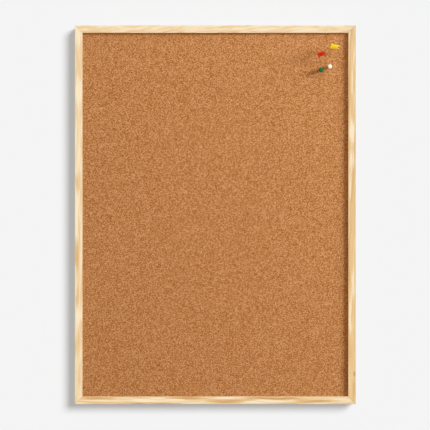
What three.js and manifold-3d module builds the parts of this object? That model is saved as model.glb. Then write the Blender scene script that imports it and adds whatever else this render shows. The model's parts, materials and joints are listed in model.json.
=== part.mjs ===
// A framed cork pin board that hangs upright on a wall, with two flag pins and two ball pins in it.
// Millimetres and degrees. X runs to the right as the board is seen, the front faces -Y and Z points up.
// The origin is in the middle of the top rail's back face.

import * as THREE from "three";
import { mergeVertices } from "three/addons/utils/BufferGeometryUtils.js";
import Module from "manifold-3d";

const wasm = await Module();
wasm.setup();

// Frame: four mitred rails with a groove for the panel
const FRAME_WIDTH = 445;
const FRAME_HEIGHT = 600;
const RAIL_FACE = 12; // width of a rail seen from the front
const FRONT_LIP = 3; // wood in front of the cork
const BACK_LIP = 3; // wood behind the backing board
const GROOVE_DEPTH = 4;
const ARRIS_RADIUS = 0.8; // eased long edges of the rails
const GROOVE_RADIUS = 0.3;
const MITRE_GAP = 0.2; // glue line in each corner

// Panel: cork on softboard on a backing board
const CORK_THICKNESS = 3;
const CORE_THICKNESS = 8;
const BACKING_THICKNESS = 2;
const GLUE_LINE = 0.1;
const FACE_PLAY = 0.2; // panel to the walls of the groove
const EDGE_PLAY = 0.5; // panel to the floor of the groove

// Staples across the back of each mitre
const STAPLE_CROWN = 6; // outside width
const STAPLE_LEG = 12;
const STAPLE_WIRE = 1; // in the plane of the staple
const STAPLE_BREADTH = 1.2; // across that plane
const STAPLE_BEND = 0.7;
const STAPLE_SINK = 0.3; // crown below the back face
const STAPLE_PLAY = 0.2;

// Hangers: a folded strap, a wire ring in its eye and a screw
const HANGER_DROP = 60; // top edge of the frame to the ring's pivot
const RING_WIRE = 1.8;
const RING_SPAN = 10; // between the sides of the ring, wire centre to wire centre
const RING_RISE = 10; // pivot to the crest of the ring, at the wire's centre
const RING_BEND = 1.5;
const RING_BUTT = 0.5; // gap between the two wire ends, inside the eye
const EYE_PLAY = 0.2; // wire to the wall of the eye
const STRAP_WIDTH = 6.5;
const STRAP_THICKNESS = 0.7;
const STRAP_REACH = 18.5; // pivot to the rounded end of the strap
const SEAT_GAP = 0.1; // between flat faces that rest on each other
const SCREW_HEAD = 5.4;
const SCREW_HEAD_HEIGHT = 1.9;
const SCREW_RIM = 0.6;
const SCREW_SHANK = 2.8;
const SCREW_LENGTH = 14;
const SCREW_POINT = 4;
const SCREW_PLAY = 0.2;
const SCREW_WALL = 0.4; // wood left between the screw and the groove
const CROSS_LENGTH = 3;
const CROSS_WIDTH = 0.7;
const CROSS_DEPTH = 1.1;

// Pins
const NEEDLE_DIAMETER = 0.9;
const NEEDLE_POINT = 3;
const NEEDLE_PLAY = 0.1; // needle in its ball or sleeve
const PRICK_PLAY = 0.15; // needle in the panel
const BALL_DIAMETER = 7.4;
const BALL_NEEDLE = 10.5; // needle below the ball
const BALL_SOCKET = 4.8; // needle inside the ball
const FLAG_NEEDLE = 23; // needle below the sleeve
const FLAG_HOIST = 8.5;
const FLAG_TIPS = 6.6; // between the tips of the two tails
const FLAG_NOTCH = 4.4;
const FLAG_THICKNESS = 1.2;
const FLAG_CORNER = 0.5;
const SLEEVE_DIAMETER = 2.8;
const SLEEVE_ROOF = 1; // plastic above the needle's end
const SLEEVE_CHAMFER = 0.3;

// Where each pin stands: its foot from the right and top edges of the visible cork, how far it leans off
// square, which way it leans (clockwise from straight up), and how much needle shows below its head.
// A flag also has its fly, from the needle's axis to the tips of the tails, and its turn about the needle.
const PINS = {
  yellow: { fromRight: 33.6, fromTop: 35, lean: 41.5, heading: 23.7, shows: 16.5, fly: 14.5, turn: 6 },
  red: { fromRight: 43, fromTop: 45.9, lean: 40.4, heading: -23.3, shows: 12.5, fly: 12, turn: 14 },
  white: { fromRight: 29.2, fromTop: 53.2, lean: 0, heading: 0, shows: 0.4 },
  green: { fromRight: 44.2, fromTop: 59.8, lean: 14, heading: 54, shows: 1.8 },
};

// Facets
const ARRIS_STEPS = 3;
const ROUND_SIDES = 24;
const NEEDLE_SIDES = 12;
const WIRE_QUARTERS = 4; // half the sides of the ring's wire
const RING_STEPS = 52;
const BALL_RINGS = 14;
const DOME_RINGS = 4;
const WELD = 1e-4;

// Sizes that follow from those above
const PANEL_THICKNESS = CORK_THICKNESS + CORE_THICKNESS + BACKING_THICKNESS + 2 * GLUE_LINE;
const RAIL_DEPTH = FRONT_LIP + BACK_LIP + PANEL_THICKNESS + 2 * FACE_PLAY;
const RAIL_WEB = RAIL_FACE - GROOVE_DEPTH;
const PANEL_EDGE = RAIL_WEB + EDGE_PLAY; // outer edge of the frame to the panel's edge
const CORK_FACE = -RAIL_DEPTH + FRONT_LIP + FACE_PLAY;
const NEEDLE_RADIUS = NEEDLE_DIAMETER / 2;
const BALL_RADIUS = BALL_DIAMETER / 2;
const EYE_BORE = RING_WIRE / 2 + EYE_PLAY;
const EYE_RADIUS = EYE_BORE + STRAP_THICKNESS;
const EYE_OUT = SEAT_GAP + EYE_RADIUS; // ring's pivot behind the frame's back face
const STRAP_FACE = 2 * (SEAT_GAP + STRAP_THICKNESS);
const SCREW_DROP = STRAP_REACH - STRAP_WIDTH / 2; // pivot to the screw
const SCREW_BORE = SCREW_SHANK / 2 + SCREW_PLAY;
const SCREW_SEAT = STRAP_FACE + SEAT_GAP;
const HANGER_INSET = RAIL_WEB - SCREW_WALL - SCREW_BORE; // outer edge of the frame to the screw's axis
const HANGER_HEIGHT = FRAME_HEIGHT / 2 - HANGER_DROP; // pivot above the middle of the board

const { degToRad } = THREE.MathUtils;
const AXIS_X = new THREE.Vector3(1, 0, 0);
const AXIS_Y = new THREE.Vector3(0, 1, 0);
const AXIS_Z = new THREE.Vector3(0, 0, 1);

const finish = (color, roughness, metalness = 0) =>
  new THREE.MeshStandardMaterial({ color, roughness, metalness });

const PINE = finish(0xf0d8a8, 0.55);
const CORK = finish(0xba8049, 0.9);
const SOFTBOARD = finish(0xa98b68, 0.95);
const HARDBOARD = finish(0x6f4f35, 0.8);
const ZINC = finish(0xb9bcc0, 0.35, 1);
const STEEL = finish(0xc8c9cc, 0.25, 1);
const PLASTIC = {
  yellow: finish(0xf6cf28, 0.3),
  red: finish(0xcd2e0a, 0.3),
  white: finish(0xfffff0, 0.25),
  green: finish(0x19733c, 0.25),
};

// A closed geometry as a solid that can be joined and cut.
function solidOf(geometry, matrix = new THREE.Matrix4()) {
  const bare = geometry.clone().applyMatrix4(matrix);
  bare.deleteAttribute("normal");
  bare.deleteAttribute("uv");
  const merged = mergeVertices(bare, WELD);
  const vertProperties = merged.attributes.position.array;
  const triVerts = new Uint32Array(merged.index.array);
  return new wasm.Manifold(new wasm.Mesh({ numProp: 3, vertProperties, triVerts }));
}

// A solid as a geometry again.
function geometryOf(solid) {
  const { vertProperties, triVerts } = solid.getMesh();
  const geometry = new THREE.BufferGeometry();
  geometry.setAttribute("position", new THREE.BufferAttribute(vertProperties, 3));
  geometry.setIndex(new THREE.BufferAttribute(triVerts, 1));
  geometry.computeVertexNormals();
  return geometry;
}

function node(name, geometry, material) {
  const mesh = new THREE.Mesh(geometry, material);
  mesh.name = name;
  return mesh;
}

const at = (x, y, z) => new THREE.Matrix4().makeTranslation(x, y, z);
const turnedAt = (x, y, z, angle) =>
  at(x, y, z).multiply(new THREE.Matrix4().makeRotationY(degToRad(angle)));

// A closed outline through corners [x, y, radius], where a corner with a radius is rounded.
function outline(corners) {
  const shape = new THREE.Shape();
  corners.forEach(([x, y, radius = 0], i) => {
    const corner = new THREE.Vector2(x, y);
    const towards = ([a, b]) => new THREE.Vector2(a, b).sub(corner).setLength(radius).add(corner);
    const enter = towards(corners.at(i - 1));
    const leave = towards(corners[(i + 1) % corners.length]);
    if (i === 0) shape.moveTo(enter.x, enter.y);
    else shape.lineTo(enter.x, enter.y);
    if (radius > 0) shape.quadraticCurveTo(x, y, leave.x, leave.y);
  });
  shape.closePath();
  return shape;
}

// A shape run along z, with its middle at z = 0.
function extrude(shape, depth, curveSegments = ARRIS_STEPS) {
  const geometry = new THREE.ExtrudeGeometry(shape, { depth, curveSegments, bevelEnabled: false });
  return geometry.translate(0, 0, -depth / 2);
}

// Turns a profile of [radius, height] points about Y.
const lathe = (points, sides) =>
  new THREE.LatheGeometry(points.map(([radius, height]) => new THREE.Vector2(radius, height)), sides);

// A plain round rod along Y from one height to another.
const rod = (radius, low, high, sides) =>
  new THREE.CylinderGeometry(radius, radius, high - low, sides).translate(0, (low + high) / 2, 0);

// Points of an arc as [radius, height], by angles from straight down.
function arcPoints(radius, height, start, end, rings) {
  return Array.from({ length: rings + 1 }, (_, i) => {
    const angle = start + ((end - start) * i) / rings;
    return [Math.max(radius * Math.sin(angle), 0), height - radius * Math.cos(angle)];
  });
}

// Rails. In a rail's own frame x runs inwards from its outer edge, y from front to back and z along it.

function railSection() {
  const front = -RAIL_DEPTH;
  const grooveFront = front + FRONT_LIP;
  return outline([
    [0, front, ARRIS_RADIUS],
    [RAIL_FACE, front, ARRIS_RADIUS],
    [RAIL_FACE, grooveFront, GROOVE_RADIUS],
    [RAIL_WEB, grooveFront],
    [RAIL_WEB, -BACK_LIP],
    [RAIL_FACE, -BACK_LIP, GROOVE_RADIUS],
    [RAIL_FACE, 0, GROOVE_RADIUS],
    [0, 0, ARRIS_RADIUS],
  ]);
}

// The section run along the rail, with both ends cut at 45 degrees.
function railBlank(length) {
  const geometry = extrude(railSection(), 1);
  const position = geometry.attributes.position;
  for (let i = 0; i < position.count; i++) {
    const mitredLength = length - Math.SQRT2 * MITRE_GAP - 2 * position.getX(i);
    position.setZ(i, position.getZ(i) * mitredLength);
  }
  return geometry;
}

// Distances along each edge from a corner of the frame to the middles of its two staples. The legs stand
// at the quarter points of the solid wood outside the groove.
function staplePlaces() {
  const legOffset = (STAPLE_CROWN - STAPLE_WIRE) / 2 / Math.SQRT2;
  return { outer: RAIL_WEB / 4 + legOffset, inner: (3 * RAIL_WEB) / 4 + legOffset };
}

// A staple, or with some play and a higher top the pocket that it is driven into.
function stapleGeometry(top, play = 0) {
  const half = STAPLE_CROWN / 2 + play;
  const inside = half - STAPLE_WIRE - 2 * play;
  const under = -STAPLE_SINK - STAPLE_WIRE - play;
  const tip = -STAPLE_SINK - STAPLE_LEG - play;
  const shoulder = tip + STAPLE_WIRE;
  const middle = (half + inside) / 2;
  return extrude(
    outline([
      [-half, top, STAPLE_BEND],
      [-half, shoulder],
      [-middle, tip],
      [-inside, shoulder],
      [-inside, under],
      [inside, under],
      [inside, shoulder],
      [middle, tip],
      [half, shoulder],
      [half, top, STAPLE_BEND],
    ]),
    STAPLE_BREADTH + 2 * play,
  );
}

function railGeometry(length, screwPlace) {
  let rail = solidOf(railBlank(length));
  const pocket = stapleGeometry(STAPLE_WIRE, STAPLE_PLAY);
  for (const end of [-1, 1]) {
    for (const place of Object.values(staplePlaces())) {
      rail = rail.subtract(solidOf(pocket, turnedAt(place, 0, end * (length / 2 - place), -end * 45)));
    }
  }
  if (screwPlace !== undefined) {
    const tip = SCREW_SEAT - SCREW_LENGTH - SCREW_PLAY;
    const bore = rod(SCREW_BORE, tip, STRAP_FACE, ROUND_SIDES);
    rail = rail.subtract(solidOf(bore, at(HANGER_INSET, 0, screwPlace)));
  }
  return geometryOf(rail);
}

function frameRails() {
  const screwHeight = HANGER_HEIGHT - SCREW_DROP;
  const sides = [
    { name: "left_rail", length: FRAME_HEIGHT, out: FRAME_WIDTH / 2, turn: 0, screwPlace: screwHeight },
    { name: "top_rail", length: FRAME_WIDTH, out: FRAME_HEIGHT / 2, turn: 90 },
    { name: "right_rail", length: FRAME_HEIGHT, out: FRAME_WIDTH / 2, turn: 180, screwPlace: -screwHeight },
    { name: "bottom_rail", length: FRAME_WIDTH, out: FRAME_HEIGHT / 2, turn: 270 },
  ];
  return sides.map(({ name, length, out, turn, screwPlace }) => {
    const rail = node(name, railGeometry(length, screwPlace), PINE);
    rail.rotation.y = degToRad(turn);
    rail.position.set(-out, 0, 0).applyAxisAngle(AXIS_Y, rail.rotation.y);
    return rail;
  });
}

function cornerStaples() {
  const geometry = stapleGeometry(-STAPLE_SINK);
  const corners = { top_left: [-1, 1], top_right: [1, 1], bottom_left: [-1, -1], bottom_right: [1, -1] };
  return Object.entries(corners).flatMap(([corner, [sideX, sideZ]]) =>
    Object.entries(staplePlaces()).map(([row, place]) => {
      const staple = node(`${corner}_${row}_staple`, geometry, STEEL);
      staple.position.set(sideX * (FRAME_WIDTH / 2 - place), 0, sideZ * (FRAME_HEIGHT / 2 - place));
      staple.rotation.y = degToRad(sideX * sideZ * 45);
      return staple;
    }),
  );
}

// Panel

function panelLayers() {
  const width = FRAME_WIDTH - 2 * PANEL_EDGE;
  const height = FRAME_HEIGHT - 2 * PANEL_EDGE;
  const layers = [
    { name: "cork_sheet", thickness: CORK_THICKNESS, material: CORK },
    { name: "softboard_core", thickness: CORE_THICKNESS, material: SOFTBOARD },
    { name: "backing_board", thickness: BACKING_THICKNESS, material: HARDBOARD },
  ];
  let front = CORK_FACE;
  return layers.map(({ name, thickness, material }) => {
    const middle = front + thickness / 2;
    front += thickness + GLUE_LINE;
    let layer = solidOf(new THREE.BoxGeometry(width, thickness, height), at(0, middle, 0));
    for (const pin of Object.values(PINS)) layer = layer.subtract(solidOf(prick(pin), pinMatrix(pin)));
    return node(name, geometryOf(layer), material);
  });
}

// Pins. In a pin's own frame z runs out along the needle from the cork's face and x points to the right,
// or the way a flag flies.

function pinMatrix({ fromRight, fromTop, lean, heading, turn = 0 }) {
  const out = new THREE.Vector3(0, 0, Math.sin(degToRad(lean)));
  out.applyAxisAngle(AXIS_Y, degToRad(heading));
  out.y = -Math.cos(degToRad(lean));
  const fly = AXIS_X.clone().addScaledVector(out, -out.x).normalize();
  fly.applyAxisAngle(out, degToRad(turn));
  const across = out.clone().cross(fly);
  const footX = FRAME_WIDTH / 2 - RAIL_FACE - fromRight;
  const footZ = FRAME_HEIGHT / 2 - RAIL_FACE - fromTop;
  return new THREE.Matrix4().makeBasis(fly, across, out).setPosition(footX, CORK_FACE, footZ);
}

const isFlag = (pin) => "fly" in pin;

// The hole that a pin makes: as deep as a flag pin stands, or as a ball pin can be pushed.
function prick(pin) {
  const depth = isFlag(pin) ? FLAG_NEEDLE - pin.shows : BALL_NEEDLE;
  const mouth = pin.shows + NEEDLE_DIAMETER;
  return rod(NEEDLE_RADIUS + PRICK_PLAY, -depth - PRICK_PLAY, mouth, NEEDLE_SIDES).rotateX(Math.PI / 2);
}

function needleGeometry(tip, top) {
  const profile = [
    [0, tip],
    [NEEDLE_RADIUS, tip + NEEDLE_POINT],
    [NEEDLE_RADIUS, top],
    [0, top],
  ];
  return lathe(profile, NEEDLE_SIDES).rotateX(Math.PI / 2);
}

function ballGeometry() {
  const bore = NEEDLE_RADIUS + NEEDLE_PLAY;
  const roof = BALL_SOCKET + NEEDLE_PLAY;
  const profile = [
    [0, roof],
    [bore, roof],
    ...arcPoints(BALL_RADIUS, BALL_RADIUS, Math.asin(bore / BALL_RADIUS), Math.PI, BALL_RINGS),
  ];
  return lathe(profile, ROUND_SIDES).rotateX(Math.PI / 2);
}

function swallowTail(fly) {
  const low = (FLAG_HOIST - FLAG_TIPS) / 2;
  const shape = outline([
    [0, 0],
    [fly, low, FLAG_CORNER],
    [fly - FLAG_NOTCH, FLAG_HOIST / 2],
    [fly, FLAG_HOIST - low, FLAG_CORNER],
    [0, FLAG_HOIST],
  ]);
  return extrude(shape, FLAG_THICKNESS);
}

// The sleeve along the hoist, closed by a dome at the top.
function sleeveGeometry() {
  const radius = SLEEVE_DIAMETER / 2;
  const profile = [
    [0, 0],
    [radius - SLEEVE_CHAMFER, 0],
    [radius, SLEEVE_CHAMFER],
    ...arcPoints(radius, FLAG_HOIST, Math.PI / 2, Math.PI, DOME_RINGS),
  ];
  return lathe(profile, ROUND_SIDES);
}

function flagGeometry(fly) {
  const bore = rod(NEEDLE_RADIUS + NEEDLE_PLAY, -NEEDLE_DIAMETER, FLAG_HOIST - SLEEVE_ROOF, NEEDLE_SIDES);
  const flag = solidOf(sleeveGeometry()).add(solidOf(swallowTail(fly))).subtract(solidOf(bore));
  return geometryOf(flag).rotateX(Math.PI / 2);
}

function pinGroup(colour) {
  const pin = PINS[colour];
  const flag = isFlag(pin);
  const length = flag ? FLAG_NEEDLE : BALL_NEEDLE;
  const held = flag ? FLAG_HOIST - SLEEVE_ROOF - NEEDLE_PLAY : BALL_SOCKET;
  const head = node(
    flag ? `${colour}_flag` : `${colour}_ball`,
    flag ? flagGeometry(pin.fly) : ballGeometry(),
    PLASTIC[colour],
  );
  head.position.z = pin.shows;
  const needle = node(`${colour}_needle`, needleGeometry(pin.shows - length, pin.shows + held), STEEL);
  const group = new THREE.Group();
  group.applyMatrix4(pinMatrix(pin));
  return group.add(head, needle);
}

// Hangers. In a hanger's own frame the origin is on the frame's back face at the height of the ring's
// pivot, y points away from the back and the strap runs down from the pivot.

// A strip folded round the ring's wire, with both leaves lying flat on the rail, one on the other.
function strapGeometry() {
  const side = new THREE.Shape();
  const lowerLeaf = SEAT_GAP + STRAP_THICKNESS;
  const upperLeaf = lowerLeaf + SEAT_GAP;
  const pinch = (height, radius) => -Math.acos((height - EYE_OUT) / radius);
  side.moveTo(SEAT_GAP, -STRAP_REACH);
  side.lineTo(SEAT_GAP, 0);
  side.absarc(EYE_OUT, 0, EYE_RADIUS, Math.PI, pinch(STRAP_FACE, EYE_RADIUS), true);
  side.lineTo(STRAP_FACE, -STRAP_REACH);
  side.lineTo(upperLeaf, -STRAP_REACH);
  side.absarc(EYE_OUT, 0, EYE_BORE, pinch(upperLeaf, EYE_BORE), Math.PI, false);
  side.lineTo(lowerLeaf, -STRAP_REACH);
  side.closePath();
  const acrossX = new THREE.Matrix4().makeBasis(AXIS_Y, AXIS_Z, AXIS_X);
  const strip = solidOf(extrude(side, STRAP_WIDTH, ROUND_SIDES / 2), acrossX);
  const half = STRAP_WIDTH / 2;
  const roundEnd = outline([
    [half, -STRAP_REACH, half],
    [half, 2 * EYE_RADIUS],
    [-half, 2 * EYE_RADIUS],
    [-half, -STRAP_REACH, half],
  ]);
  const blank = extrude(roundEnd, 4 * EYE_RADIUS, ROUND_SIDES / 4).rotateX(Math.PI / 2);
  const bore = rod(SCREW_BORE, 0, 2 * STRAP_FACE, ROUND_SIDES);
  return geometryOf(strip.intersect(solidOf(blank)).subtract(solidOf(bore, at(0, 0, -SCREW_DROP))));
}

// Bent wire in the shape of a D, whose ends meet inside the eye.
function ringGeometry() {
  const side = RING_SPAN / 2;
  const shoulder = RING_RISE - side;
  const run = side - RING_BEND;
  const start = RING_BUTT / 2;
  const point = (x, z) => new THREE.Vector3(x, 0, z);
  const path = new THREE.CurvePath();
  const line = (a, b) => path.add(new THREE.LineCurve3(a, b));
  const bend = (a, corner, b) => path.add(new THREE.QuadraticBezierCurve3(a, corner, b));
  const round = side * (4 / 3) * Math.tan(Math.PI / 8); // handle of a quarter circle
  const quarter = (a, b, c, d) => path.add(new THREE.CubicBezierCurve3(a, b, c, d));
  line(point(start, 0), point(run, 0));
  bend(point(run, 0), point(side, 0), point(side, RING_BEND));
  line(point(side, RING_BEND), point(side, shoulder));
  const crest = point(0, RING_RISE);
  quarter(point(side, shoulder), point(side, shoulder + round), point(round, RING_RISE), crest);
  quarter(crest, point(-round, RING_RISE), point(-side, shoulder + round), point(-side, shoulder));
  line(point(-side, shoulder), point(-side, RING_BEND));
  bend(point(-side, RING_BEND), point(-side, 0), point(-run, 0));
  line(point(-run, 0), point(-start, 0));
  const section = new THREE.Shape().absarc(0, 0, RING_WIRE / 2, 0, 2 * Math.PI);
  return new THREE.ExtrudeGeometry(section, {
    extrudePath: path,
    steps: RING_STEPS,
    curveSegments: WIRE_QUARTERS,
  });
}

// A pan-head wood screw with a cross recess.
function screwGeometry() {
  const head = SCREW_HEAD / 2;
  const shank = SCREW_SHANK / 2;
  const crown = SCREW_HEAD_HEIGHT - SCREW_RIM;
  const dome = Array.from({ length: DOME_RINGS + 1 }, (_, i) => {
    const angle = (i / DOME_RINGS) * (Math.PI / 2);
    return [Math.max(head * Math.cos(angle), 0), SCREW_RIM + crown * Math.sin(angle)];
  });
  const profile = [[0, -SCREW_LENGTH], [shank, SCREW_POINT - SCREW_LENGTH], [shank, 0], [head, 0], ...dome];
  let screw = solidOf(lathe(profile, ROUND_SIDES));
  const slot = new THREE.BoxGeometry(CROSS_LENGTH, 2 * CROSS_DEPTH, CROSS_WIDTH);
  for (const turn of [45, 135]) {
    screw = screw.subtract(solidOf(slot, turnedAt(0, SCREW_HEAD_HEIGHT, 0, turn)));
  }
  return geometryOf(screw);
}

function hangerGroup(name, side) {
  const ring = node(`${name}_hanger_ring`, ringGeometry(), ZINC);
  ring.position.y = EYE_OUT;
  const screw = node(`${name}_hanger_screw`, screwGeometry(), ZINC);
  screw.position.set(0, SCREW_SEAT, -SCREW_DROP);
  const group = new THREE.Group();
  group.position.set(side * (FRAME_WIDTH / 2 - HANGER_INSET), 0, HANGER_HEIGHT);
  return group.add(node(`${name}_hanger_strap`, strapGeometry(), ZINC), ring, screw);
}

const board = new THREE.Group();
board.position.z = RAIL_FACE / 2 - FRAME_HEIGHT / 2;
board.add(...frameRails(), ...cornerStaples(), ...panelLayers());
board.add(...Object.keys(PINS).map(pinGroup));
board.add(hangerGroup("left", -1), hangerGroup("right", 1));

const part = new THREE.Group();
part.add(board);

export default part;
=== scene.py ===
"""Looks of a framed cork pin board with two flag pins and two ball pins, built round its CAD parts.

The board hangs upright on a wall: X runs to the right as it is seen, the front faces -Y and Z points up.
Pieces are modelled in millimetres in their own frames and set down in metres.
"""

import json
import logging
import math
from dataclasses import dataclass
from enum import Enum
from typing import Union

import bmesh
import bpy
from mathutils import Matrix, Vector, noise

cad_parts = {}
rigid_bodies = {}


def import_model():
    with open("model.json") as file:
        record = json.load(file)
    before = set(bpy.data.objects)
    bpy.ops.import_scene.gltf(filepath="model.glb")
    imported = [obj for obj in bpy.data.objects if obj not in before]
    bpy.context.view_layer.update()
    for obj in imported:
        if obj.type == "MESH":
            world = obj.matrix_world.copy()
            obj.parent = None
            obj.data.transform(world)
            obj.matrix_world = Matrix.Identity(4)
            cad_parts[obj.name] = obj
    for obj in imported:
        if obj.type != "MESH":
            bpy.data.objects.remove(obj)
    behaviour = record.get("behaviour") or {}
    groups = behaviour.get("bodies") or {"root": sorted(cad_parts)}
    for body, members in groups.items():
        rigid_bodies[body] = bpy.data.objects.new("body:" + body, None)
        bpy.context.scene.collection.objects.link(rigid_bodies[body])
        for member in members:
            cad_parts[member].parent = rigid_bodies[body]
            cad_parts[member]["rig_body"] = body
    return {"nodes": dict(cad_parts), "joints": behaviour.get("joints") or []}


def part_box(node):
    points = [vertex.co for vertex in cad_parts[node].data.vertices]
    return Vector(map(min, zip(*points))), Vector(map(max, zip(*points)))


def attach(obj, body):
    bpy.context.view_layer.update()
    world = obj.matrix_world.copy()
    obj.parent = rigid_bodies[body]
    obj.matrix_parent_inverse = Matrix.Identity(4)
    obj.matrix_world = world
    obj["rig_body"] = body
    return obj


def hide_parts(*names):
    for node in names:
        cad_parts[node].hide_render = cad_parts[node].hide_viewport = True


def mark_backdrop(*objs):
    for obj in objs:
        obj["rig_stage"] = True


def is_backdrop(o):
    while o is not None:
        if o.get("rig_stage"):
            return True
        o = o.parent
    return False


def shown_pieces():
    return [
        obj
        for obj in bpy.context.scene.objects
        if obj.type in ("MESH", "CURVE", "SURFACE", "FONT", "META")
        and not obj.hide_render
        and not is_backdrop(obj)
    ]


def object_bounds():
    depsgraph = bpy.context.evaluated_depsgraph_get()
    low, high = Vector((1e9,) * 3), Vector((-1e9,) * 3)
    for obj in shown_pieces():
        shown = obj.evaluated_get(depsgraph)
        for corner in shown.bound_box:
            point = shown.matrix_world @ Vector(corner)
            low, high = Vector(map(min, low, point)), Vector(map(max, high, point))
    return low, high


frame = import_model()
CAD_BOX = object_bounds()

LOG = logging.getLogger("pin_board")
MM = 0.001
X_AXIS = Vector((1.0, 0.0, 0.0))
Y_AXIS = Vector((0.0, 1.0, 0.0))
Z_AXIS = Vector((0.0, 0.0, 1.0))
WELD = 1e-4
NEEDLE_PLAY = 0.1
SHARP_ANGLE = math.radians(38.0)

Colour = tuple[float, float, float, float]
Tint = tuple[float, float, float]
Direction = tuple[float, float, float]

WHITE: Colour = (1.0, 1.0, 1.0, 1.0)
LAMP_TINT: Tint = (0.92, 1.05, 1.18)


def srgb(red: int, green: int, blue: int) -> Colour:
    """Turns a screen colour into the linear colour that shaders take.

    Args:
        red: Red from 0 to 255.
        green: Green from 0 to 255.
        blue: Blue from 0 to 255.

    Returns:
        The colour with an alpha of 1.
    """
    def linear(level: int) -> float:
        """Undoes the screen's curve for one channel."""
        share = level / 255.0
        return share / 12.92 if share <= 0.04045 else ((share + 0.055) / 1.055) ** 2.4

    return linear(red), linear(green), linear(blue), 1.0


Value = Union[float, "Wire"]


class Wire:
    """A socket of a material's node tree that can be used in arithmetic."""

    def __init__(self, recipe: "Recipe", socket: bpy.types.NodeSocket | None) -> None:
        """Wraps an output socket of the recipe's tree, or none for a node that ends it."""
        self.recipe = recipe
        self.socket = socket

    def out(self, name: str) -> "Wire":
        """Gives another output of the same node by its name."""
        return Wire(self.recipe, self.socket.node.outputs[name])

    def maths(self, operation: str, *values: Value) -> "Wire":
        """Adds a Math node that works on these values in order."""
        return self.recipe.node("ShaderNodeMath", {"operation": operation}, dict(enumerate(values)))

    def __add__(self, other: Value) -> "Wire":
        """Adds a value."""
        return self.maths("ADD", self, other)

    def __radd__(self, other: Value) -> "Wire":
        """Is added to a value."""
        return self.maths("ADD", other, self)

    def __sub__(self, other: Value) -> "Wire":
        """Takes a value away."""
        return self.maths("SUBTRACT", self, other)

    def __rsub__(self, other: Value) -> "Wire":
        """Is taken away from a value."""
        return self.maths("SUBTRACT", other, self)

    def __mul__(self, other: Value) -> "Wire":
        """Multiplies by a value."""
        return self.maths("MULTIPLY", self, other)

    def __rmul__(self, other: Value) -> "Wire":
        """Multiplies a value."""
        return self.maths("MULTIPLY", other, self)

    def __truediv__(self, other: Value) -> "Wire":
        """Divides by a value."""
        return self.maths("DIVIDE", self, other)

    def root(self) -> "Wire":
        """Takes the square root."""
        return self.maths("SQRT", self)

    def floor(self) -> "Wire":
        """Rounds down."""
        return self.maths("FLOOR", self)

    def fraction(self) -> "Wire":
        """Keeps what is left above the whole number."""
        return self.maths("FRACT", self)

    def sine(self) -> "Wire":
        """Takes the sine of an angle in radians."""
        return self.maths("SINE", self)

    def step(self, low: float, high: float) -> "Wire":
        """Rises smoothly from 0 at low to 1 at high.

        Args:
            low: Where the rise starts.
            high: Where it ends.

        Returns:
            The share of the rise.
        """
        sockets = {"Value": self, "From Min": low, "From Max": high}
        return self.recipe.node("ShaderNodeMapRange", {"interpolation_type": "SMOOTHSTEP"}, sockets)


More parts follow.
